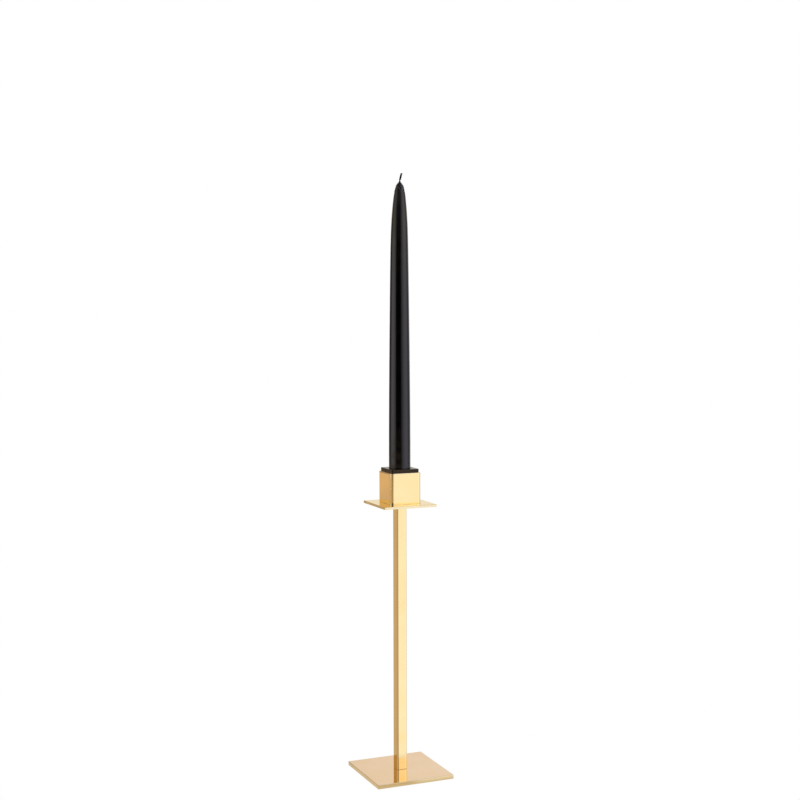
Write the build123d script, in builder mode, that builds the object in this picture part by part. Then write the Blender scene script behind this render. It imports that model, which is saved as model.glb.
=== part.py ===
from build123d import *
import math
import os

# Square brass candlestick with a black dipped taper candle, in millimetres.
#
# A base plate, a bar post, a drip plate and a socket of square tube are stacked on one vertical axis.
# One countersunk screw comes up through the base into the post. One button-head screw goes down through
# the socket's floor and the drip plate into the post, and a moulded black insert over it grips the candle.
# The insert lifts out of the socket, and the candle lifts out of the insert.
#
# Frame: origin at the centre of the underside, where it stands. +Z is up, and -Y is the front face.

# ---------------------------------------------------------------- driving dimensions
felt_side = 72.0
felt_thick = 0.8
felt_corner_radius = 2.0

base_side = 80.0
base_thick = 4.0

post_side = 10.8
post_length = 264.0
post_corner_radius = 1.6

drip_side = 55.0
drip_thick = 2.5

plate_corner_radius = 0.6  # the upright corners of the base and drip plates
plate_edge_radius = 0.4  # the eased edges round their faces

sleeve_side = 32.0
sleeve_height = 30.5
sleeve_wall = 1.5
sleeve_corner_radius = 2.9
rim_radius = 0.3  # easing of the sawn ends of the square tube
floor_thick = 3.0
braze_gap = 0.02  # between the floor plate and the tube, on each side

insert_stand = 3.5  # how far the insert stands above the brass rim
insert_gap = 0.1  # sliding clearance between the insert and the tube, on each side
insert_edge_radius = 0.4
bore_depth = 21.0
bore_gap = 0.1  # radial clearance round the candle's foot
bore_lead_in = 0.6
screw_pocket_radius = 7.0
screw_pocket_depth = 5.2

candle_length = 300.0
foot_radius = 10.6
# Radius of the dipped taper at each distance down from its tip.
taper = [(0.9, 0.0), (4.1, 5.5), (6.2, 18.0), (8.05, 47.0), (9.1, 105.0), (10.2, 205.0)]

wick_radius = 0.75
wick_gap = 0.01  # between the wick and the wax, all round
wick_upright = 0.8  # stands upright out of the wax this far before it bends
wick_bend_radius = 5.0
wick_lean = 21.0  # degrees that it leans towards +X above the bend
wick_leaning = 5.7  # length of its leaning end

# M5 coarse thread and the two M5 screws
thread_major = 2.5
thread_minor = 2.05
thread_pitch = 0.8
thread_gap = 0.03  # radial clearance of the tapped holes
thread_runout = 0.2  # plain stretch past the last thread of a screw
clearance_radius = 2.75
tap_depth = 12.0
drill_point = 1.3
hex_across_flats = 3.0
point_radius = 1.7  # the chamfered end of a screw

base_screw_length = 12.0
base_screw_head_radius = 5.0
base_screw_recess = 0.1
socket_screw_length = 16.0
socket_screw_head_radius = 4.75
socket_screw_head_height = 2.75
socket_screw_crown_radius = 2.4  # the flat on top of the button head
socket_screw_dome_bulge = 0.4
hex_depth = 1.8

washer_thick = 1.2
washer_outer = 4.6
washer_inner = 2.6
washer_split = 0.9
washer_split_angle = 15  # degrees off square of the cut across the washer

# ---------------------------------------------------------------- heights up the stack
base_z = felt_thick
post_z = base_z + base_thick
post_top = post_z + post_length
socket_z = post_top + drip_thick
floor_top = socket_z + floor_thick
rim_z = socket_z + sleeve_height
insert_top = rim_z + insert_stand
foot_z = insert_top - bore_depth
tip_z = foot_z + candle_length
washer_top = floor_top + washer_thick

sleeve_bore_side = sleeve_side - 2 * sleeve_wall
sleeve_bore_corner = sleeve_corner_radius - sleeve_wall


def half_thread(first_z, last_z, widen):
    """Outline of one side of a ribbed M5 thread: its root and crest points from first_z to last_z."""
    step = math.copysign(thread_pitch / 2, last_z - first_z)
    points = []
    for k in range(int(abs(last_z - first_z) / abs(step)) + 1):
        radius = thread_minor if k % 2 == 0 else thread_major
        points.append((radius + widen, first_z + k * step))
    return points


def tapped_hole_outline(mouth_z, inward):
    """Closed outline, in radius and height, of a tapped hole from mouth_z along inward (+1 or -1)."""
    end_z = mouth_z + inward * tap_depth
    flank = half_thread(mouth_z, end_z, thread_gap)
    return [(0, mouth_z), *flank, (0, end_z + inward * drill_point)]


# ---------------------------------------------------------------- stand: plates and post
with BuildPart() as base_felt:
    with BuildSketch():
        RectangleRounded(felt_side, felt_side, felt_corner_radius)
    extrude(amount=felt_thick)

with BuildPart() as base_plate:
    with BuildSketch(Plane.XY.offset(base_z)):
        RectangleRounded(base_side, base_side, plate_corner_radius)
    extrude(amount=base_thick)
    fillet(base_plate.edges().filter_by(Plane.XY), plate_edge_radius)
    with Locations(Location((0, 0, base_z), (180, 0, 0))):
        CounterSinkHole(clearance_radius, base_screw_head_radius + base_screw_recess)

with BuildPart() as post:
    with BuildSketch(Plane.XY.offset(post_z)):
        RectangleRounded(post_side, post_side, post_corner_radius)
    extrude(amount=post_length)
    with BuildSketch(Plane.XZ):
        with BuildLine():
            Polyline(*tapped_hole_outline(post_z, 1), close=True)
        make_face()
        with BuildLine():
            Polyline(*tapped_hole_outline(post_top, -1), close=True)
        make_face()
    revolve(axis=Axis.Z, mode=Mode.SUBTRACT)

with BuildPart() as drip_plate:
    with BuildSketch(Plane.XY.offset(post_top)):
        RectangleRounded(drip_side, drip_side, plate_corner_radius)
    extrude(amount=drip_thick)
    fillet(drip_plate.edges().filter_by(Plane.XY), plate_edge_radius)
    with Locations((0, 0, socket_z)):
        Hole(clearance_radius)

# ---------------------------------------------------------------- stand: socket
with BuildPart() as socket_sleeve:
    with BuildSketch(Plane.XY.offset(socket_z)):
        RectangleRounded(sleeve_side, sleeve_side, sleeve_corner_radius)
        RectangleRounded(sleeve_bore_side, sleeve_bore_side, sleeve_bore_corner, mode=Mode.SUBTRACT)
    extrude(amount=sleeve_height)
    fillet(socket_sleeve.faces().sort_by(Axis.Z)[-1].edges(), rim_radius)

with BuildPart() as socket_floor:
    with BuildSketch(Plane.XY.offset(socket_z)):
        floor_side = sleeve_bore_side - 2 * braze_gap
        RectangleRounded(floor_side, floor_side, sleeve_bore_corner)
        Circle(clearance_radius, mode=Mode.SUBTRACT)
    extrude(amount=floor_thick)

# ---------------------------------------------------------------- stand: screws and washer
with BuildPart() as base_screw:
    head_z = base_z + base_screw_recess
    tip = head_z + base_screw_length
    with BuildSketch(Plane.XZ):
        with BuildLine():
            neck = (thread_minor, head_z + base_screw_head_radius - thread_minor)
            flank = half_thread(post_z, tip - thread_runout, 0)
            Polyline(
                (0, head_z),
                (base_screw_head_radius - base_screw_recess, head_z),
                (base_screw_head_radius - base_screw_recess, head_z + base_screw_recess),
                neck,
                *flank,
                (point_radius, tip),
                (0, tip),
                close=True,
            )
        make_face()
    revolve(axis=Axis.Z)
    with BuildSketch(Plane.XY.offset(head_z)):
        RegularPolygon(hex_across_flats / 2, 6, major_radius=False)
    extrude(amount=hex_depth, mode=Mode.SUBTRACT)

with BuildPart() as socket_screw:
    head_top = washer_top + socket_screw_head_height
    tip = washer_top - socket_screw_length
    with BuildSketch(Plane.XZ):
        with BuildLine():
            flank = half_thread(post_top, tip + thread_runout, 0)
            Polyline(
                (0, head_top),
                (0, tip),
                (point_radius, tip),
                *reversed(flank),
                (thread_minor, washer_top),
                (socket_screw_head_radius, washer_top),
            )
            crown_edge = (socket_screw_crown_radius, head_top)
            SagittaArc(crown_edge, (socket_screw_head_radius, washer_top), socket_screw_dome_bulge)
            Line(crown_edge, (0, head_top))
        make_face()
    revolve(axis=Axis.Z)
    with BuildSketch(Plane.XY.offset(head_top)):
        RegularPolygon(hex_across_flats / 2, 6, major_radius=False)
    extrude(amount=-hex_depth, mode=Mode.SUBTRACT)

with BuildPart() as spring_washer:
    with BuildSketch(Plane.XY.offset(floor_top)):
        Circle(washer_outer)
        Circle(washer_inner, mode=Mode.SUBTRACT)
        with Locations(Location(((washer_outer + washer_inner) / 2, 0, 0), (0, 0, washer_split_angle))):
            Rectangle(washer_outer, washer_split, mode=Mode.SUBTRACT)
    extrude(amount=washer_thick)

# ---------------------------------------------------------------- insert
with BuildPart() as candle_insert:
    insert_side = sleeve_bore_side - 2 * insert_gap
    with BuildSketch(Plane.XY.offset(floor_top)):
        RectangleRounded(insert_side, insert_side, sleeve_bore_corner)
    extrude(amount=insert_top - floor_top)
    fillet(candle_insert.faces().sort_by(Axis.Z)[-1].edges(), insert_edge_radius)
    with Locations((0, 0, insert_top)):
        Hole(foot_radius + bore_gap, bore_depth)
    bore_mouth = candle_insert.faces().sort_by(Axis.Z)[-1].inner_wires()
    chamfer(bore_mouth.edges(), bore_lead_in)
    with Locations(Location((0, 0, floor_top), (180, 0, 0))):
        Hole(screw_pocket_radius, screw_pocket_depth)

# ---------------------------------------------------------------- candle
with BuildPart() as candle:
    with BuildSketch(Plane.XZ):
        with BuildLine():
            side = [(radius, tip_z - down) for radius, down in taper]
            Spline(*side, (foot_radius, insert_top))
            Polyline((foot_radius, insert_top), (foot_radius, foot_z), (wick_radius + wick_gap, foot_z))
            Polyline((wick_radius + wick_gap, foot_z), (wick_radius + wick_gap, tip_z), side[0])
        make_face()
    revolve(axis=Axis.Z)

with BuildPart() as wick:
    with BuildLine(Plane.XZ):
        upright = Line((0, foot_z), (0, tip_z + wick_upright))
        bend = JernArc(upright @ 1, upright % 1, wick_bend_radius, -wick_lean)
        PolarLine(bend @ 1, wick_leaning, direction=bend % 1)
    with BuildSketch(Plane.XY.offset(foot_z)):
        Circle(wick_radius)
    sweep()

# ---------------------------------------------------------------- labels and export
pieces = {
    "base_felt": base_felt,
    "base_plate": base_plate,
    "base_screw": base_screw,
    "post": post,
    "drip_plate": drip_plate,
    "socket_sleeve": socket_sleeve,
    "socket_floor": socket_floor,
    "spring_washer": spring_washer,
    "socket_screw": socket_screw,
    "candle_insert": candle_insert,
    "candle": candle,
    "wick": wick,
}

os.makedirs("parts", exist_ok=True)
for name, piece in pieces.items():
    piece.part.label = name
    export_step(piece.part, f"parts/{name}.step")
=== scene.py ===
import math

import bmesh
import bpy
from bpy.props import FloatProperty, FloatVectorProperty, PointerProperty
from mathutils import Euler, Matrix, Vector, noise


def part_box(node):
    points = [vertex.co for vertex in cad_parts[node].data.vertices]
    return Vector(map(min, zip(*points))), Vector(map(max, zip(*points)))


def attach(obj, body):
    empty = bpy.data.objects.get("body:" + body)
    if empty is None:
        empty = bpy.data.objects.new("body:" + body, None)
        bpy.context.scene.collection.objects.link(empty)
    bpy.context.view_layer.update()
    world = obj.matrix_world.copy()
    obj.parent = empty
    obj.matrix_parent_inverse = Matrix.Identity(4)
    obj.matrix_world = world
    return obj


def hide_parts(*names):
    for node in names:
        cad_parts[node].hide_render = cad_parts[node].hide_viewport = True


# The looks of a square brass candlestick with a black dipped taper candle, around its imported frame.
# Metres throughout, +Z up, the stand's underside at zero and its front face towards -Y.

bl_info = {
    "name": "Square brass candlestick",
    "version": (1, 0, 0),
    "blender": (4, 5, 0),
    "location": "3D View > Sidebar > Candlestick",
    "description": "Makes the polished stand, moulded insert, dipped candle and the studio round them",
    "category": "Object",
}

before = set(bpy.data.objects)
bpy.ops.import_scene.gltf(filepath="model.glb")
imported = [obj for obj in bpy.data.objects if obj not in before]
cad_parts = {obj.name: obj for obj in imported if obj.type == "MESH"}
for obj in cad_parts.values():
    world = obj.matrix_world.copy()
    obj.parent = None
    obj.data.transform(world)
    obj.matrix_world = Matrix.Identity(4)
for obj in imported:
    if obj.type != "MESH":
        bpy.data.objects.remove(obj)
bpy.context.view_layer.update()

MM = 0.001
CORNER_STEPS = 6  # facets round each upright corner
EDGE_STEPS = 4  # facets across each eased edge
WEAR_REACH = 1.2 * MM  # how far in from an edge the polish is worn
CORNER_WEAR = 0.3  # how worn the upright corners are, beside an edge's 1; on the brass the wear also places a painted paler reflection
UNWORN = -1.0  # the wear of a loop inside a flat face, which has none even at its corners
SHARP = math.radians(40)  # faces that meet at more than this keep a crisp edge


# ---------------------------------------------------------------- colours and nodes
def linear(code):
    """Linear RGB of an sRGB hex colour."""
    shades = [int(code[i : i + 2], 16) / 255 for i in (1, 3, 5)]
    return tuple(s / 12.92 if s <= 0.04045 else ((s + 0.055) / 1.055) ** 2.4 for s in shades)


def opaque(colour):
    """RGBA of an RGB colour."""
    return (*colour[:3], 1.0)


def scaled(colour, share):
    """A share of a colour."""
    return tuple(part * share for part in colour[:3])


def add(tree, kind, inputs=None, **settings):
    """A new node, with its own settings.

    inputs holds its sockets by name or place, each with a value or with a socket to link it from.
    """
    node = tree.nodes.new(kind)
    for name, value in settings.items():
        setattr(node, name, value)
    feed(node, inputs or {})
    return node


def feed(node, inputs):
    """Sets the node's sockets, or links them where another node's socket is given."""
    for key, value in inputs.items():
        if isinstance(value, bpy.types.NodeSocket):
            node.id_data.links.new(value, node.inputs[key])
        else:
            node.inputs[key].default_value = value


def calculated(tree, operation, *values):
    """The result of one step of arithmetic over values or sockets."""
    return add(tree, "ShaderNodeMath", dict(enumerate(values)), operation=operation).outputs[0]


def ranged(tree, value, start, end, low=0.0, high=1.0, **settings):
    """A value brought from between start and end to between low and high."""
    inputs = {"Value": value, "From Min": start, "From Max": end, "To Min": low, "To Max": high}
    return add(tree, "ShaderNodeMapRange", inputs, **settings).outputs[0]


def mixed(tree, share, first, second, **settings):
    """A mix of two colours, with that share of the second."""
    inputs = {0: share, 6: first, 7: second}
    return add(tree, "ShaderNodeMix", inputs, data_type="RGBA", **settings).outputs[2]


def ramp(tree, factor, *stops):
    """The colour output of a ramp over stops of (place, colour)."""
    node = add(tree, "ShaderNodeValToRGB", {"Fac": factor})
    elements = node.color_ramp.elements
    while len(elements) < len(stops):
        elements.new(1.0)
    for element, (place, colour) in zip(elements, stops):
        element.position = place
        element.color = opaque(colour)
    return node.outputs["Color"]


def bearing_ramp(tree, way, settings, *stops):
    """A colour by level direction. Each stop is (degrees to the right of the camera, colour)."""
    square_on = {"Vector": way, "Angle": settings.camera_turn}
    faced = add(tree, "ShaderNodeVectorRotate", square_on, rotation_type="Z_AXIS").outputs[0]
    parts = add(tree, "ShaderNodeSeparateXYZ", {0: faced}).outputs
    nearer = calculated(tree, "MULTIPLY", parts["Y"], -1.0)
    bearing = calculated(tree, "ARCTAN2", parts["X"], nearer)
    turn = calculated(tree, "MULTIPLY_ADD", bearing, 1 / math.tau, 0.5)
    return ramp(tree, turn, *((0.5 + degrees / 360, colour) for degrees, colour in stops))


def mottle(tree, place, spacing, detail, **inputs):
    """Noise whose features are that many millimetres apart."""
    inputs |= {"Vector": place, "Scale": 1 / (spacing * MM), "Detail": detail}
    return add(tree, "ShaderNodeTexNoise", inputs).outputs["Fac"]


def drawn_out(tree, place, share):
    """Places for a pattern that is drawn out upright, with that share of its variation up and down."""
    return add(tree, "ShaderNodeMapping", {"Vector": place, "Scale": (1.0, 1.0, share)}).outputs[0]


def bumped(tree, height, depth, strength, **under):
    """The normal of a bump that many millimetres deep. Normal=socket lays it over another bump."""
    inputs = {"Height": height, "Distance": depth * MM, "Strength": strength, **under}
    return add(tree, "ShaderNodeBump", inputs).outputs[0]


def wear_and_reflection_share(tree):
    """How worn each place is, as the mesh keeps it. On the brass it also places a painted paler reflection.
    """
    return add(tree, "ShaderNodeAttribute", attribute_name="wear").outputs["Fac"]


def blank_material(name):
    """(material, its node tree, its shader, places on the object), with the shader linked to the output."""
    material = bpy.data.materials.new(name)
    material.use_nodes = True
    tree = material.node_tree
    tree.nodes.clear()
    shader = add(tree, "ShaderNodeBsdfPrincipled")
    add(tree, "ShaderNodeOutputMaterial", {"Surface": shader.outputs[0]})
    return material, tree, shader, add(tree, "ShaderNodeTexCoord").outputs["Object"]


def set_up(shader, **sockets):
    """Sets or links the shader's sockets, named with underscores for spaces."""
    feed(shader, {name.replace("_", " "): value for name, value in sockets.items()})


# ---------------------------------------------------------------- materials
# Hairlines, grain and scratches are drawn some tenths of a millimetre apart, which is far coarser than
# real ones, so that they show.
def polished_brass(settings):
    """Cast and rolled brass, buffed to a mirror and lacquered.

    The buffing leaves a mirror with a very slight roll to it and hairlines. The thin lacquer lays a paler
    gloss over the yellow metal, with dull spots where hands have been and along the edges. The paler colour
    along the edges and round the post's foot is partly wear and partly a painted reflection.
    """
    material, tree, shader, place = blank_material("brass_buffed_and_lacquered")
    cloud = mottle(tree, place, 26, 3.0)
    smudge = mottle(tree, place, 9, 6.0)
    wear_and_reflection = calculated(tree, "MULTIPLY", wear_and_reflection_share(tree), smudge)
    dulling = 0.4  # how much rougher fully worn brass is
    metal = ramp(tree, cloud, (0.30, settings.brass_deep), (0.70, settings.brass_pale))
    clean = ranged(tree, smudge, 0.35, 0.8, settings.polish, settings.polish + 0.05)
    rolled = bumped(tree, mottle(tree, place, 22, 1.0), 0.012, 1.0)
    hairlines = mottle(tree, drawn_out(tree, place, 0.05), 0.5, 2.0)
    set_up(
        shader,
        # the worn colour is partly wear and partly a painted paler reflection along the edges and round the
        # post's foot
        Base_Color=mixed(tree, wear_and_reflection, metal, opaque(settings.worn_brass_and_painted_reflection)),
        Roughness=calculated(tree, "MULTIPLY_ADD", wear_and_reflection, dulling, clean),
        Normal=bumped(tree, hairlines, 0.0006, 1.0, Normal=rolled),
        Metallic=1.0, Coat_Weight=0.35, Coat_Roughness=0.03, Coat_IOR=1.5,
    )
    return material


def drawn_brass(settings):
    """Brass tube as it left the drawing die, never buffed: fine straight lines and a soft, browner shine."""
    material, tree, shader, place = blank_material("brass_drawn_tube_inside")
    die_lines = mottle(tree, drawn_out(tree, place, 0.04), 0.4, 4.0)
    tarnish = mottle(tree, place, 5, 5.0)
    browned = linear("#C39A52")
    set_up(
        shader,
        Base_Color=ramp(tree, tarnish, (0.35, browned), (0.65, settings.brass_deep)),
        Roughness=ranged(tree, tarnish, 0.0, 1.0, 0.34, 0.48),
        Normal=bumped(tree, die_lines, 0.002, 1.0),
        Metallic=1.0,
    )
    return material


def zinc_plated_steel():
    """Rolled-thread steel screws, bright zinc plated: a cool grey shine with a faint crystal mottle."""
    material, tree, shader, place = blank_material("steel_zinc_plated")
    crystal_size = 0.7 * MM
    cells = add(tree, "ShaderNodeTexVoronoi", {"Vector": place, "Scale": 1 / crystal_size})
    grey = add(tree, "ShaderNodeRGBToBW", {"Color": cells.outputs["Color"]}).outputs[0]
    dark, bright = linear("#A9ABAD"), linear("#D5D6D2")
    set_up(
        shader,
        Base_Color=ramp(tree, grey, (0.2, dark), (0.8, bright)),
        Roughness=ranged(tree, grey, 0.0, 1.0, 0.22, 0.40),
        Normal=bumped(tree, mottle(tree, place, 0.3, 4.0), 0.006, 0.7),
        Metallic=1.0,
    )
    return material


def moulded_plastic(settings):
    """Black ABS, injection moulded in a polished tool: glossy, with a faint flow pattern and a fine grain."""
    material, tree, shader, place = blank_material("abs_moulded_black")
    flow = mottle(tree, place, 7, 4.0)
    # the brown in the insert's black and in its flow pattern is a painted reflection of the brass round it
    flow_and_brass_reflection, rubbed_grey = linear("#20140A"), linear("#34302C")
    tone = ramp(tree, flow, (0.3, settings.insert_black_and_brass_reflection), (0.75, flow_and_brass_reflection))
    rubbed = calculated(tree, "MULTIPLY", wear_and_reflection_share(tree), 0.25)
    set_up(
        shader,
        Base_Color=mixed(tree, rubbed, tone, opaque(rubbed_grey)),
        Roughness=ranged(tree, flow, 0.0, 1.0, 0.14, 0.26),
        Normal=bumped(tree, mottle(tree, place, 0.35, 3.0), 0.003, 1.0),
        IOR=1.41, Specular_Tint=opaque(linear("#FFE7C4")),
    )
    return material


def dipped_wax(settings):
    """Black paraffin wax, built up by dipping, with a last dip in a hard glossy wax.

    The last dip gives a deep black with a clear, slightly liquid gloss. Wax that ran down as it set leaves
    long shallow ripples, and handling leaves a faint bloom.
    """
    material, tree, shader, place = blank_material("wax_dipped_black")
    bloom = mottle(tree, place, 14, 6.0)
    runs = mottle(tree, drawn_out(tree, place, 0.12), 5, 2.0)
    pits = mottle(tree, place, 0.9, 2.0)
    rippled = bumped(tree, runs, 0.05, 1.0)
    bloomed = linear("#060607")
    set_up(
        shader,
        Base_Color=ramp(tree, bloom, (0.35, settings.wax_colour), (0.8, bloomed)),
        Roughness=ranged(tree, bloom, 0.3, 0.75, settings.wax_gloss, settings.wax_gloss + 0.08),
        Normal=bumped(tree, pits, 0.004, 1.0, Normal=rippled),
        IOR=1.52, Specular_Tint=opaque(linear("#FFF7FF")),
    )
    return material


def waxed_cotton():
    """Braided cotton, soaked in the black wax: dark fibres with a dull, slightly furry shine."""
    material, tree, shader, place = blank_material("cotton_braided_waxed")
    fibre = mottle(tree, place, 0.25, 4.0)
    dark, light = linear("#040404"), linear("#111010")
    set_up(
        shader,
        Base_Color=ramp(tree, fibre, (0.35, dark), (0.7, light)),
        Roughness=ranged(tree, fibre, 0.0, 1.0, 0.45, 0.8),
        Normal=bumped(tree, fibre, 0.06, 0.8),
        IOR=1.40, Sheen_Weight=0.05, Sheen_Roughness=0.5,
    )
    return material


def pressed_felt():
    """Black wool felt, pressed from loose fibre: matt and slightly mottled, with a soft light on its nap."""
    material, tree, shader, place = blank_material("wool_pressed_felt")
    fibre = mottle(tree, place, 0.6, 8.0, Distortion=1.5)
    matting = mottle(tree, place, 6, 3.0)
    both = calculated(tree, "MULTIPLY", fibre, matting)
    dark, light = linear("#0E0D0E"), linear("#3A383A")
    set_up(
        shader,
        Base_Color=ramp(tree, both, (0.12, dark), (0.45, light)),
        Roughness=ranged(tree, matting, 0.0, 1.0, 0.85, 1.0),
        Normal=bumped(tree, fibre, 0.25, 1.0),
        IOR=1.5, Sheen_Weight=0.35, Sheen_Roughness=0.6,
    )
    return material


# ---------------------------------------------------------------- meshes from stacked loops
def square_loop(half, corner, z):
    """[(point, on_corner)] round a rounded square, or round a circle where corner equals half.

    Each corner has a shoulder point on the flat at either side of its arc, so the wear stays near the corner.
    """
    spots = CORNER_STEPS + 3
    reach = min(WEAR_REACH, (half - corner) * 0.5)
    points = []
    for quarter in range(4):
        middle = Vector((half - corner, half - corner, 0))
        for spot in range(spots):
            if corner >= half:
                angle = math.radians(90 * (spot + 0.5) / spots)
                at = Vector((math.cos(angle), math.sin(angle), 0)) * half
                on_corner = 0.0
            else:
                step = min(max(spot - 1, 0), CORNER_STEPS)
                angle = math.radians(90 * step / CORNER_STEPS)
                at = middle + Vector((math.cos(angle), math.sin(angle), 0)) * corner
                on_corner = 1.0 if 0 < spot < spots - 1 else 0.0
                if spot == 0:
                    at.y -= reach
                elif spot == spots - 1:
                    at.x -= reach
            at.rotate(Matrix.Rotation(math.radians(90 * quarter), 3, "Z"))
            points.append((Vector((at.x, at.y, z)), on_corner))
    return points


def arc(half, corner, z, radius, first, last):
    """Loops (half, corner, z, wear) across an eased edge with its arc centred on (half, corner, z)."""
    loops = []
    for step in range(EDGE_STEPS + 1):
        angle = math.radians(first + (last - first) * step / EDGE_STEPS)
        out = radius * math.cos(angle)
        loops.append((half + out, corner + out, z + radius * math.sin(angle), 1.0))
    return loops


def loft(name, loops, material, closed=False):
    """A mesh object skinned over loops of (half, corner, z, wear).

    closed joins the last loop to the first one, and otherwise both ends are capped. The mesh keeps the wear
    in an attribute, which the materials read; on the brass it also places a painted paler reflection.
    """
    mesh = bmesh.new()
    wear = mesh.verts.layers.float.new("wear")
    rings = []
    for half, corner, z, ring_wear in loops:
        ring = []
        for point, on_corner in square_loop(half, corner, z):
            vertex = mesh.verts.new(point)
            vertex[wear] = 0.0 if ring_wear == UNWORN else max(ring_wear, on_corner * CORNER_WEAR)
            ring.append(vertex)
        rings.append(ring)
    pairs = list(zip(rings, rings[1:]))
    if closed:
        pairs.append((rings[-1], rings[0]))
    else:
        mesh.faces.new(rings[0])
        mesh.faces.new(rings[-1])
    for low, high in pairs:
        for i, vertex in enumerate(low):
            after = (i + 1) % len(low)
            mesh.faces.new((vertex, low[after], high[after], high[i]))
    return finished(name, mesh, material)


def finished(name, mesh, material):
    """Turns a bmesh into a smooth-shaded object whose flat faces stay flat and eased edges stay round."""
    bmesh.ops.recalc_face_normals(mesh, faces=mesh.faces)
    for face in mesh.faces:
        face.smooth = True
    for edge in mesh.edges:
        edge.smooth = edge.calc_face_angle(0.0) < SHARP
    data = bpy.data.meshes.new(name)
    mesh.to_mesh(data)
    mesh.free()
    data.materials.append(material)
    piece = bpy.data.objects.new(name, data)
    bpy.context.scene.collection.objects.link(piece)
    weighted = piece.modifiers.new("flat_faces_stay_flat", "WEIGHTED_NORMAL")
    weighted.mode = "FACE_AREA"
    weighted.weight = 100
    weighted.keep_sharp = True
    return piece


def place_piece(piece, body, slot, *nodes):
    """Hangs a finished piece on its body in place of the CAD nodes that it stands for."""
    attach(piece, body)
    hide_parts(*nodes)


def dress_node(node, material):
    """Gives a CAD node a finished material."""
    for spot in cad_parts[node].material_slots:
        spot.material = material


def half_and_heights(node):
    """(half its width, underside, top) of a CAD node."""
    low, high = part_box(node)
    return (high[0] - low[0]) / 2, low[2], high[2]


# ---------------------------------------------------------------- settings
class StandSettings(bpy.types.PropertyGroup):
    """Sizes and colours of the brass stand and its insert."""

    plate_corner: FloatProperty(
        name="Plate corner", description="Radius of the plates' upright corners", default=0.6 * MM,
        min=0.1 * MM, subtype="DISTANCE", unit="LENGTH",
    )
    plate_edge: FloatProperty(
        name="Plate edge", description="Easing of the edges round the plates' faces", default=0.4 * MM,
        min=0.05 * MM, subtype="DISTANCE", unit="LENGTH",
    )
    post_corner: FloatProperty(
        name="Post corner", description="Radius of the post's upright corners", default=1.6 * MM,
        min=0.1 * MM, subtype="DISTANCE", unit="LENGTH",
    )
    socket_corner: FloatProperty(
        name="Socket corner", description="Outer radius of the square tube's corners", default=2.9 * MM,
        min=1.6 * MM, subtype="DISTANCE", unit="LENGTH",
    )
    socket_wall: FloatProperty(
        name="Socket wall", description="Wall thickness of the square tube", default=1.5 * MM,
        min=0.5 * MM, subtype="DISTANCE", unit="LENGTH",
    )
    rim_edge: FloatProperty(
        name="Rim edge", description="Easing of the tube's sawn ends", default=0.3 * MM,
        min=0.05 * MM, subtype="DISTANCE", unit="LENGTH",
    )
    polish: FloatProperty(
        name="Polish", description="Roughness of the buffed brass where it is cleanest", default=0.035,
        min=0.0, max=1.0, subtype="FACTOR",
    )
    brass_pale: FloatVectorProperty(
        name="Pale brass", description="Brass where the lacquer is thinnest", default=linear("#FEE0A6"),
        size=3, min=0.0, max=1.0, subtype="COLOR",
    )
    brass_deep: FloatVectorProperty(
        name="Deep brass", description="Brass where the lacquer is thickest", default=linear("#FBD998"),
        size=3, min=0.0, max=1.0, subtype="COLOR",
    )
    # worn brass colour: partly wear, partly a painted paler reflection along the edges and round the post's
    # foot
    worn_brass_and_painted_reflection: FloatVectorProperty(
        name="Worn brass and painted reflection", description="Brass along the edges and round the post's foot",
        default=linear("#F0E2C2"), size=3, min=0.0, max=1.0, subtype="COLOR",
    )
    # the insert's black is tinted brown with a painted reflection of the brass round it
    insert_black_and_brass_reflection: FloatVectorProperty(
        name="Insert", description="The moulded insert's black", default=linear("#140B05"),
        size=3, min=0.0, max=1.0, subtype="COLOR",
    )


class CandleSettings(bpy.types.PropertyGroup):
    """Sizes and colours of the candle."""

    dip_ripple: FloatProperty(
        name="Dip ripple", description="How far the wax swells and thins along its length", default=0.05 * MM,
        min=0.0, max=0.3 * MM, subtype="DISTANCE", unit="LENGTH",
    )
    tip_lumps: FloatProperty(
        name="Tip lumps", description="Height of the lumps where the last dips set round the tip",
        default=0.55 * MM, min=0.0, max=1.5 * MM, subtype="DISTANCE", unit="LENGTH",
    )
    tip_bow: FloatProperty(
        name="Tip bow", description="How far the tip leans over towards the right", default=0.5 * MM,
        min=0.0, max=2.0 * MM, subtype="DISTANCE", unit="LENGTH",
    )
    wax_gloss: FloatProperty(
        name="Wax gloss", description="Roughness of the outer dip where it is cleanest", default=0.09,
        min=0.0, max=1.0, subtype="FACTOR",
    )
    wax_colour: FloatVectorProperty(
        name="Wax", description="The wax's black", default=linear("#030303"),
        size=3, min=0.0, max=1.0, subtype="COLOR",
    )


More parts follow.
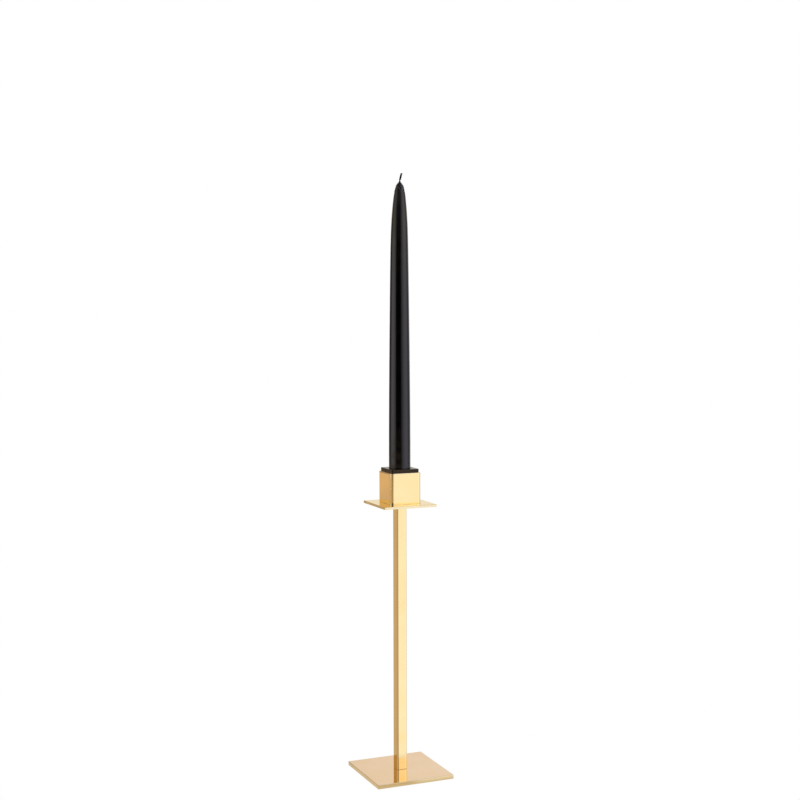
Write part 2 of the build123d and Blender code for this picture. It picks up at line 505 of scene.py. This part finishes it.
class StudioSettings(bpy.types.PropertyGroup):
    """Camera and light."""

    camera_turn: FloatProperty(
        name="Camera turn", description="How far left of square-on the camera stands",
        default=math.radians(23.06), subtype="ANGLE", unit="ROTATION",
    )
    camera_away: FloatProperty(
        name="Camera distance", description="Level distance from the post to the camera", default=1.398,
        min=0.5, subtype="DISTANCE", unit="LENGTH",
    )
    camera_height: FloatProperty(
        name="Camera height", description="Height of the camera above the floor", default=0.467,
        min=0.0, subtype="DISTANCE", unit="LENGTH",
    )
    camera_tilt: FloatProperty(
        name="Camera tilt", description="How far below level the camera looks",
        default=math.radians(3.88), subtype="ANGLE", unit="ROTATION",
    )
    camera_roll: FloatProperty(
        name="Camera roll", description="How far the camera leans to its left",
        default=math.radians(-0.11), subtype="ANGLE", unit="ROTATION",
    )
    lens: FloatProperty(
        name="Lens", description="Focal length", default=64.4, min=10.0,
        subtype="DISTANCE_CAMERA", unit="CAMERA",
    )
    sideways: FloatProperty(
        name="Sideways", description="Share of the picture's width that it is shifted by", default=0.0005,
    )
    right_panel: FloatVectorProperty(
        name="Right panel", description="Light of the soft panel on the right", default=(1.28, 1.30, 1.36),
        size=3, min=0.0, subtype="COLOR",
    )
    left_panel: FloatVectorProperty(
        name="Left panel", description="Light of the soft panel on the left", default=(1.32, 1.32, 1.28),
        size=3, min=0.0, subtype="COLOR",
    )
    panel_share: FloatProperty(
        name="Matt light", description="Share of the panels' light that falls on the matt parts", default=0.6,
        min=0.0, soft_max=1.0,
    )
    backdrop: FloatVectorProperty(
        name="Backdrop", description="Light of the backdrop behind the object", default=(0.745, 0.705, 0.76),
        size=3, min=0.0, subtype="COLOR",
    )
    floor_left: FloatVectorProperty(
        name="Floor, left", description="Light of the floor as the left faces mirror it",
        default=(0.58, 0.47, 0.34), size=3, min=0.0, subtype="COLOR",
    )
    floor_right: FloatVectorProperty(
        name="Floor, right", description="Light of the floor as the front faces mirror it",
        default=(1.03, 1.12, 1.23), size=3, min=0.0, subtype="COLOR",
    )
    far_left: FloatVectorProperty(
        name="Far floor, left", description="Light of the far floor as the socket's left face mirrors it",
        default=(0.72, 0.53, 0.33), size=3, min=0.0, subtype="COLOR",
    )
    behind_left: FloatVectorProperty(
        name="Wall behind, left", description="Light of the wall behind the object on its left",
        default=(0.60, 0.46, 0.27), size=3, min=0.0, subtype="COLOR",
    )
    camera_floor: FloatVectorProperty(
        name="Floor, camera side", description="Light of the floor between the object and the camera",
        default=(0.47, 0.37, 0.23), size=3, min=0.0, subtype="COLOR",
    )
    camera_wall: FloatVectorProperty(
        name="Wall, camera side", description="Light of the wall above and behind the camera",
        default=(0.25, 0.22, 0.20), size=3, min=0.0, subtype="COLOR",
    )
    contact_shade: FloatVectorProperty(
        name="Contact shade", description="Light of the shaded floor right beside the base",
        default=(0.68, 0.62, 0.52), size=3, min=0.0, subtype="COLOR",
    )
    shade_reach: FloatProperty(
        name="Shade reach", description="How far from the base the contact shade fades out", default=25 * MM,
        min=1 * MM, subtype="DISTANCE", unit="LENGTH",
    )


# ---------------------------------------------------------------- the pieces
class CANDLESTICK_OT_brass_stock(bpy.types.Operator):
    """Make the base plate, post, drip plate and square socket tube in polished brass"""

    bl_idname = "candlestick.brass_stock"
    bl_label = "Brass stock"

    def execute(self, context):
        sizes = context.scene.candlestick_stand
        brass = polished_brass(sizes)
        inside = drawn_brass(sizes)
        hole = 2.75 * MM
        countersink = 5.1 * MM
        tapped = 2.3 * MM
        tap_depth = 12 * MM

        for node, underside_hole in (("base_plate", countersink), ("drip_plate", hole)):
            half, low, high = half_and_heights(node)
            edge, corner = sizes.plate_edge, sizes.plate_corner
            inner = half - edge - WEAR_REACH
            slope = underside_hole - hole
            plate = loft(f"polished_{node}", [
                (underside_hole, underside_hole, low, UNWORN),
                (inner, corner, low, UNWORN),
                *arc(half - edge, corner - edge, low + edge, edge, -90, 0),
                *arc(half - edge, corner - edge, high - edge, edge, 0, 90),
                (inner, corner, high, UNWORN),
                (hole, hole, high, UNWORN),
                (hole, hole, low + max(slope, edge), 0.0),
            ], brass, closed=True)
            place_piece(plate, "stand", "polished_brass", node)

        half, low, high = half_and_heights("post")
        edge, corner = sizes.plate_edge, sizes.post_corner
        bore_end = 0.2 * MM
        foot_wear_and_reflection = 0.6  # the buffing wheel doesn't reach right down to the base; the paler colour there is also a painted reflection
        foot_reach = 30 * MM
        post = loft("polished_post", [
            (bore_end, bore_end, low + tap_depth + tapped, 0.0),
            (tapped, tapped, low + tap_depth, 0.0),
            (tapped, tapped, low, 0.0),
            *arc(half - edge, corner - edge, low + edge, edge, -90, 0),
            (half, corner, low + edge + WEAR_REACH, foot_wear_and_reflection),
            (half, corner, low + foot_reach, 0.0),
            (half, corner, high - edge - WEAR_REACH, 0.0),
            *arc(half - edge, corner - edge, high - edge, edge, 0, 90),
            (tapped, tapped, high, 0.0),
            (tapped, tapped, high - tap_depth, 0.0),
            (bore_end, bore_end, high - tap_depth - tapped, 0.0),
        ], brass)
        place_piece(post, "stand", "polished_brass", "post")

        half, low, high = half_and_heights("socket_sleeve")
        edge, corner, wall = sizes.rim_edge, sizes.socket_corner, sizes.socket_wall
        bore, bore_corner = half - wall, corner - wall
        foot_edge = 0.1 * MM  # the tube's lower end is left almost sharp, so its joint hardly shows
        sleeve = loft("polished_socket_sleeve", [
            (bore, bore_corner, low, 0.0),
            *arc(half - foot_edge, corner - foot_edge, low + foot_edge, foot_edge, -90, 0),
            (half, corner, low + foot_edge + WEAR_REACH, 0.0),
            (half, corner, high - edge - WEAR_REACH, 0.0),
            *arc(half - edge, corner - edge, high - edge, edge, 0, 90),
            *arc(bore + edge, bore_corner + edge, high - edge, edge, 90, 180),
        ], brass, closed=True)
        sleeve.data.materials.append(inside)
        for face in sleeve.data.polygons:
            centre = face.center
            outward = centre.x * face.normal.x + centre.y * face.normal.y
            if outward < 0 and centre.z < high - edge:
                face.material_index = 1
        place_piece(sleeve, "stand", "polished_brass", "socket_sleeve")
        dress_node("socket_floor", inside)
        return {"FINISHED"}


class CANDLESTICK_OT_fixings(bpy.types.Operator):
    """Plate the two screws and the spring washer"""

    bl_idname = "candlestick.fixings"
    bl_label = "Screws and washer"

    def execute(self, context):
        zinc = zinc_plated_steel()
        for node in ("base_screw", "socket_screw", "spring_washer"):
            dress_node(node, zinc)
        return {"FINISHED"}


class CANDLESTICK_OT_felt(bpy.types.Operator):
    """Make the felt pad under the base"""

    bl_idname = "candlestick.felt"
    bl_label = "Felt pad"

    def execute(self, context):
        half, low, high = half_and_heights("base_felt")
        corner = 2 * MM
        soft_edge = 0.2 * MM
        nap = 0.12 * MM
        tuft = 1.7 * MM
        spacing = 1.5 * MM
        rows = int((half - 2 * corner) / spacing)
        underside = []
        for row in range(rows, 0, -1):
            size = half - soft_edge - row * spacing
            underside.append((size, corner, low, 0.0))
        felt = loft("felt_pad", [
            *underside,
            *arc(half - soft_edge, corner - soft_edge, low + soft_edge, soft_edge, -90, 0),
            *arc(half - soft_edge, corner - soft_edge, high - soft_edge, soft_edge, 0, 90),
        ], pressed_felt())
        for vertex in felt.data.vertices:
            rise = nap * (0.5 + 0.5 * noise.noise(vertex.co / tuft))
            if vertex.co.z < high - soft_edge:
                vertex.co.z += rise
        place_piece(felt, "stand", "black_felt", "base_felt")
        return {"FINISHED"}


class CANDLESTICK_OT_insert(bpy.types.Operator):
    """Make the black moulded insert that grips the candle"""

    bl_idname = "candlestick.insert"
    bl_label = "Insert"

    def execute(self, context):
        half, low, high = half_and_heights("candle_insert")
        foot, candle_foot, _ = half_and_heights("candle")
        bore_gap = 0.1 * MM
        bore = foot + bore_gap
        lead_in = 0.6 * MM
        edge = 0.4 * MM
        corner = 1.4 * MM
        pocket = 7.0 * MM  # the hollow underneath, over the screw's head
        pocket_depth = 5.2 * MM
        insert = loft("moulded_insert", [
            (pocket, pocket, low + pocket_depth, 0.0),
            (pocket, pocket, low, 0.0),
            (half - edge, corner, low, 0.0),
            (half, corner, low + edge, 0.0),
            (half, corner, high - edge - WEAR_REACH, 0.0),
            *arc(half - edge, corner - edge, high - edge, edge, 0, 90),
            (half - edge - WEAR_REACH, corner, high, UNWORN),
            (bore + lead_in, bore + lead_in, high, 1.0),
            (bore, bore, high - lead_in, 1.0),
            (bore, bore, candle_foot, 0.0),
        ], moulded_plastic(context.scene.candlestick_stand))
        place_piece(insert, "insert", "black_moulding", "candle_insert")
        return {"FINISHED"}


# (radius, distance down from the tip) of points down the dipped taper's side, in millimetres
TAPER = ((0.5, 0.0), (2.4, 2.2), (4.1, 5.5), (6.25, 18.0), (8.2, 47.0), (9.25, 105.0), (10.3, 205.0))


def taper_outline(tip, shoulder, foot_radius):
    """(radius, height) points of the candle's side, smoothly down from its tip to where its foot starts."""
    spacing = 1.0 * MM
    fewest = 6
    knots = [Vector((radius * MM, tip - down * MM)) for radius, down in TAPER]
    knots.append(Vector((foot_radius, shoulder)))
    knots = [2 * knots[0] - knots[1], *knots, Vector((foot_radius, 2 * shoulder - knots[-2].y))]
    outline = []
    for before, start, end, after in zip(knots, knots[1:], knots[2:], knots[3:]):
        steps = max(fewest, round((end - start).length / spacing))
        for step in range(steps):
            t = step / steps
            outline.append(
                ((2 * start) + (end - before) * t + (2 * before - 5 * start + 4 * end - after) * t**2
                 + (3 * start - before - 3 * end + after) * t**3) / 2
            )
    return outline


class CANDLESTICK_OT_candle(bpy.types.Operator):
    """Make the dipped taper candle"""

    bl_idname = "candlestick.candle"
    bl_label = "Candle"

    def execute(self, context):
        settings = context.scene.candlestick_candle
        foot_radius, foot, tip = half_and_heights("candle")
        shoulder = half_and_heights("candle_insert")[2]
        outline = taper_outline(tip, shoulder, foot_radius)
        end_ease = 0.6 * MM
        outline += [Vector((foot_radius, shoulder)), Vector((foot_radius, foot + end_ease))]
        outline.append(Vector((foot_radius - end_ease, foot)))
        around = 96
        mesh = bmesh.new()
        rings = []
        for radius, z in outline:
            ring = []
            for spot in range(around):
                angle = math.tau * spot / around
                side = Vector((math.cos(angle), math.sin(angle), 0))
                out = radius + self.swell(settings, side, (tip - z) / MM, (z - shoulder) / MM)
                ring.append(mesh.verts.new(side * out + Vector((self.bow(settings, tip - z), 0, z))))
            rings.append(ring)
        for high, low in zip(rings, rings[1:]):
            for i in range(around):
                after = (i + 1) % around
                mesh.faces.new((high[i], high[after], low[after], low[i]))
        mesh.faces.new(rings[0])
        mesh.faces.new(rings[-1])
        candle = finished("dipped_candle", mesh, dipped_wax(settings))
        place_piece(candle, "candle", "black_wax", "candle")
        return {"FINISHED"}

    @staticmethod
    def bow(settings, down):
        """How far the candle leans over, at that distance down from its tip."""
        bowed_length = 90 * MM
        return settings.tip_bow * max(0.0, 1 - down / bowed_length) ** 2

    @staticmethod
    def swell(settings, side, down, above):
        """How far the wax stands out from its plain taper on the side that faces that way.

        down is the distance below the tip and above is the height above the insert, in millimetres.
        """
        ripple_length = 9
        lump_length = 1.5
        lumps_around = 2.4
        lumpiest = 6  # this far below the tip
        lump_spread = 5
        fade = 4  # the foot is trimmed true, and the ripples start just above it
        if above <= 0:
            return 0.0
        ripple = noise.noise(Vector((side.x, side.y, down / ripple_length))) * settings.dip_ripple
        round_lumps = Vector((side.x * lumps_around, side.y * lumps_around, down / lump_length))
        lumps = noise.noise(round_lumps) * settings.tip_lumps
        near_tip = math.exp(-(((down - lumpiest) / lump_spread) ** 2))
        return (ripple + lumps * near_tip) * min(1.0, above / fade)


class CANDLESTICK_OT_wick(bpy.types.Operator):
    """Make the braided wick"""

    bl_idname = "candlestick.wick"
    bl_label = "Wick"

    def execute(self, context):
        candle_settings = context.scene.candlestick_candle
        low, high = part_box("wick")
        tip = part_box("candle")[1][2]
        strands = 3
        around = 10
        pitch = 2.8 * MM
        thick = 1.05 * MM
        straight = 0.6 * MM
        strand_half = 0.54  # share of the wick's radius that each strand takes
        neck_size = 0.38  # share of its thickness that is left where the wax pulled it in
        neck_height = 0.9 * MM
        lean = (high[0] - thick) / (high[2] - tip - straight)
        mesh = bmesh.new()
        for strand in range(strands):
            rings = []
            for height in self.heights(low[2], tip, high[2]):
                above = height - tip
                neck = neck_size + (1 - neck_size) * min(1.0, abs(above - neck_height) / neck_height)
                turn = math.tau * (strand / strands + above / pitch)
                bowed = CANDLESTICK_OT_candle.bow(candle_settings, max(0.0, -above))
                centre = Vector((bowed + lean * max(0.0, above - straight), 0, height))
                offset = Vector((math.cos(turn), math.sin(turn), 0)) * thick * (1 - strand_half) * neck
                ring = []
                for spot in range(around):
                    angle = math.tau * spot / around
                    rim = Vector((math.cos(angle), math.sin(angle), 0)) * thick * strand_half * neck
                    ring.append(mesh.verts.new(centre + offset + rim))
                rings.append(ring)
            for under, over in zip(rings, rings[1:]):
                for i in range(around):
                    after = (i + 1) % around
                    mesh.faces.new((under[i], under[after], over[after], over[i]))
            mesh.faces.new(rings[0])
            mesh.faces.new(rings[-1])
        wick = finished("braided_wick", mesh, waxed_cotton())
        place_piece(wick, "candle", "black_wick", "wick")
        return {"FINISHED"}

    @staticmethod
    def heights(foot, tip, top):
        """Heights of the wick's rings: its foot, and then close together from just inside the wax's tip."""
        inside = 2 * MM
        start = tip - inside
        step = 0.2 * MM
        count = round((top - start) / step)
        return [foot, *(start + (top - start) * i / count for i in range(count + 1))]


# ---------------------------------------------------------------- studio
class CANDLESTICK_OT_stage(bpy.types.Operator):
    """Set up the camera, the pale floor and the soft light"""

    bl_idname = "candlestick.stage"
    bl_label = "Studio"

    def execute(self, context):
        settings = context.scene.candlestick_studio
        context.scene.view_settings.view_transform = "Standard"
        self.camera(context.scene, settings)
        self.floor(settings)
        self.surroundings(context.scene, settings)
        self.panel("right_panel", 66, settings.right_panel, settings)
        self.panel("left_panel", -75, settings.left_panel, settings)
        return {"FINISHED"}

    @staticmethod
    def bearing(degrees, settings):
        """Level direction from the post, degrees to the right of the camera."""
        angle = math.radians(degrees) - settings.camera_turn
        return Vector((math.sin(angle), -math.cos(angle), 0))

    def camera(self, scene, settings):
        data = bpy.data.cameras.new("camera")
        data.sensor_width = 36
        data.lens = settings.lens
        data.shift_x = settings.sideways
        camera = bpy.data.objects.new("camera", data)
        scene.collection.objects.link(camera)
        raised = Vector((0, 0, settings.camera_height))
        camera.location = self.bearing(0, settings) * settings.camera_away + raised
        level = Euler((math.pi / 2 - settings.camera_tilt, 0, -settings.camera_turn)).to_matrix()
        camera.rotation_euler = (level @ Matrix.Rotation(settings.camera_roll, 3, "Z")).to_euler()
        scene.camera = camera

    def floor(self, settings):
        """A pale sweep, even white to the camera. To all else it glows with painted light: bright where a
        panel stands, dim in the gaps, with a painted contact shadow beside the base.
        """
        reach = 2.7
        far_from, far_to = 1.9, 2.3  # the near floor's light turns into the far floor's between these
        behind = (0.62, 0.52, 0.42)
        left_gap = (0.44, 0.33, 0.19)
        left_side = (0.62, 0.49, 0.33)
        right_gap = (0.45, 0.42, 0.40)
        right_behind = (0.85, 0.80, 0.80)
        mesh = bmesh.new()
        bmesh.ops.create_circle(mesh, cap_ends=True, segments=64, radius=reach)
        data = bpy.data.meshes.new("floor")
        mesh.to_mesh(data)
        mesh.free()
        floor = bpy.data.objects.new("floor", data)
        bpy.context.scene.collection.objects.link(floor)
        material = bpy.data.materials.new("white_sweep_with_painted_glow")
        material.use_nodes = True
        tree = material.node_tree
        tree.nodes.clear()
        place = add(tree, "ShaderNodeTexCoord").outputs["Object"]
        near, far = (
            bearing_ramp(
                tree, place, settings,
                (-180, behind),
                (-150, left),
                (-127, left),
                (-121, left_gap),
                (-112, left_gap),
                (-95, left_side),
                (-58, left_side),
                (-42, settings.camera_floor),
                (20, settings.camera_floor),
                (39, settings.floor_right),
                (95, settings.floor_right),
                (118, right_gap),
                (140, right_behind),
            )
            for left in (settings.floor_left, settings.far_left)
        )
        away = add(tree, "ShaderNodeVectorMath", {0: place}, operation="LENGTH").outputs["Value"]
        beyond = ranged(tree, away, far_from, far_to)
        open_floor = mixed(tree, beyond, near, far)
        quarter = add(tree, "ShaderNodeVectorMath", {0: place}, operation="ABSOLUTE").outputs[0]
        sides = add(tree, "ShaderNodeSeparateXYZ", {0: quarter}).outputs
        out = calculated(tree, "MAXIMUM", sides["X"], sides["Y"])
        edge = half_and_heights("base_plate")[0]
        clear = ranged(tree, out, edge, edge + settings.shade_reach, interpolation_type="SMOOTHSTEP")
        # painted contact shadow beside the base, mixed into the floor's painted glow
        sweep = mixed(tree, clear, opaque(settings.contact_shade), open_floor)
        shining = add(tree, "ShaderNodeEmission", {"Color": sweep}).outputs[0]
        white = add(tree, "ShaderNodeEmission", {"Color": (1, 1, 1, 1)}).outputs[0]
        seen = add(tree, "ShaderNodeLightPath").outputs["Is Camera Ray"]
        shown = add(tree, "ShaderNodeMixShader", {0: seen, 1: shining, 2: white}).outputs[0]
        add(tree, "ShaderNodeOutputMaterial", {"Surface": shown})
        floor.data.materials.append(material)

    @staticmethod
    def room(tree, way, settings, camera_side, behind_left, left_share):
        """Walls by bearing: a pale backdrop, then dark gaps, a panel at each side, and the camera's side."""
        left_panel = scaled(settings.left_panel, left_share)
        left_gap = (0.17, 0.16, 0.15)
        right_gap = (0.20, 0.20, 0.21)
        return bearing_ramp(
            tree, way, settings,
            (-180, settings.backdrop),
            (-150, behind_left),
            (-129, behind_left),
            (-124, left_gap),
            (-116, left_gap),
            (-98, scaled(left_panel, 0.78)),
            (-80, left_panel),
            (-64, scaled(left_panel, 0.9)),
            (-50, scaled(left_panel, 0.58)),
            (-36, camera_side),
            (12, camera_side),
            (26, scaled(settings.right_panel, 0.36)),
            (40, scaled(settings.right_panel, 0.66)),
            (53, scaled(settings.right_panel, 0.92)),
            (67, settings.right_panel),
            (80, settings.right_panel),
            (101, scaled(settings.right_panel, 0.54)),
            (118, right_gap),
            (126, right_gap),
            (134, settings.backdrop),
        )

    def surroundings(self, scene, settings):
        """Plain white behind the object. Mirrored in it: the room, in three tiers, with a dim ceiling."""
        world = bpy.data.worlds.new("studio")
        world.use_nodes = True
        tree = world.node_tree
        tree.nodes.clear()
        way = add(tree, "ShaderNodeTexCoord").outputs["Generated"]
        height = add(tree, "ShaderNodeSeparateXYZ", {0: way}).outputs["Z"]
        black = (0.008, 0.008, 0.008)
        dim = (0.08, 0.075, 0.07)
        low_corner = (0.15, 0.13, 0.12)
        high_corner = (0.45, 0.31, 0.12)
        upper_left = 0.65  # how bright the left panel's upper part is, beside its lower part's 1
        walls = self.room(tree, way, settings, black, low_corner, 1.0)
        middle = self.room(tree, way, settings, dim, settings.behind_left, upper_left)
        top = self.room(tree, way, settings, settings.camera_wall, high_corner, upper_left)
        # start and full are the upward slopes of sight where a tier sets in and where it has taken over
        for tier, start, full in ((middle, 0.07, 0.10), (top, 0.24, 0.28)):
            walls = mixed(tree, ranged(tree, height, start, full), walls, tier)
        ceiling = ramp(
            tree, height,
            (0.04, (1.0, 1.0, 1.0)),
            (0.11, (1.20, 1.22, 0.95)),
            (0.17, (1.18, 1.20, 0.95)),
            (0.27, (1.10, 1.10, 1.10)),
            (0.50, (1.10, 1.10, 1.10)),
            (0.74, (0.58, 0.56, 0.55)),
        )
        room = mixed(tree, 1.0, walls, ceiling, blend_type="MULTIPLY")
        seen = add(tree, "ShaderNodeLightPath").outputs["Is Camera Ray"]
        shown = mixed(tree, seen, room, (1, 1, 1, 1))
        light = add(tree, "ShaderNodeBackground", {"Color": shown})
        add(tree, "ShaderNodeOutputWorld", {"Surface": light.outputs[0]})
        scene.world = world

    def panel(self, name, degrees, colour, settings):
        """A soft upright panel that lights the object's matt parts. The room holds its mirror image."""
        away = 2.0
        height = 1.3
        wide = 2.3
        tall = 2.6
        data = bpy.data.lights.new(name, "AREA")
        data.shape = "RECTANGLE"
        data.size = wide
        data.size_y = tall
        data.color = colour
        data.energy = settings.panel_share * math.pi * wide * tall
        lamp = bpy.data.objects.new(name, data)
        bpy.context.scene.collection.objects.link(lamp)
        lamp.location = self.bearing(degrees, settings) * away + Vector((0, 0, height))
        lamp.rotation_euler = (-self.bearing(degrees, settings)).to_track_quat("-Z", "Y").to_euler()
        lamp.visible_camera = False
        lamp.visible_glossy = False


class CANDLESTICK_PT_making(bpy.types.Panel):
    """Lists what the add-on makes"""

    bl_label = "Candlestick"
    bl_space_type = "VIEW_3D"
    bl_region_type = "UI"
    bl_category = "Candlestick"

    def draw(self, context):
        for operator in OPERATORS:
            self.layout.operator(operator.bl_idname)
        for group in SETTINGS:
            box = self.layout.box()
            settings = getattr(context.scene, group)
            for name in settings.__annotations__:
                box.prop(settings, name)


SETTINGS = {
    "candlestick_stand": StandSettings,
    "candlestick_candle": CandleSettings,
    "candlestick_studio": StudioSettings,
}
OPERATORS = (
    CANDLESTICK_OT_stage,
    CANDLESTICK_OT_brass_stock,
    CANDLESTICK_OT_fixings,
    CANDLESTICK_OT_felt,
    CANDLESTICK_OT_insert,
    CANDLESTICK_OT_candle,
    CANDLESTICK_OT_wick,
)
CLASSES = (*SETTINGS.values(), *OPERATORS, CANDLESTICK_PT_making)


def register():
    for each in CLASSES:
        bpy.utils.register_class(each)
    for name, group in SETTINGS.items():
        setattr(bpy.types.Scene, name, PointerProperty(type=group))


def unregister():
    for name in SETTINGS:
        delattr(bpy.types.Scene, name)
    for each in reversed(CLASSES):
        bpy.utils.unregister_class(each)


def main():
    register()
    bpy.ops.candlestick.stage()
    bpy.ops.candlestick.brass_stock()
    bpy.ops.candlestick.fixings()
    bpy.ops.candlestick.felt()
    bpy.ops.candlestick.insert()
    bpy.ops.candlestick.candle()
    bpy.ops.candlestick.wick()


if __name__ == "__main__":
    main()
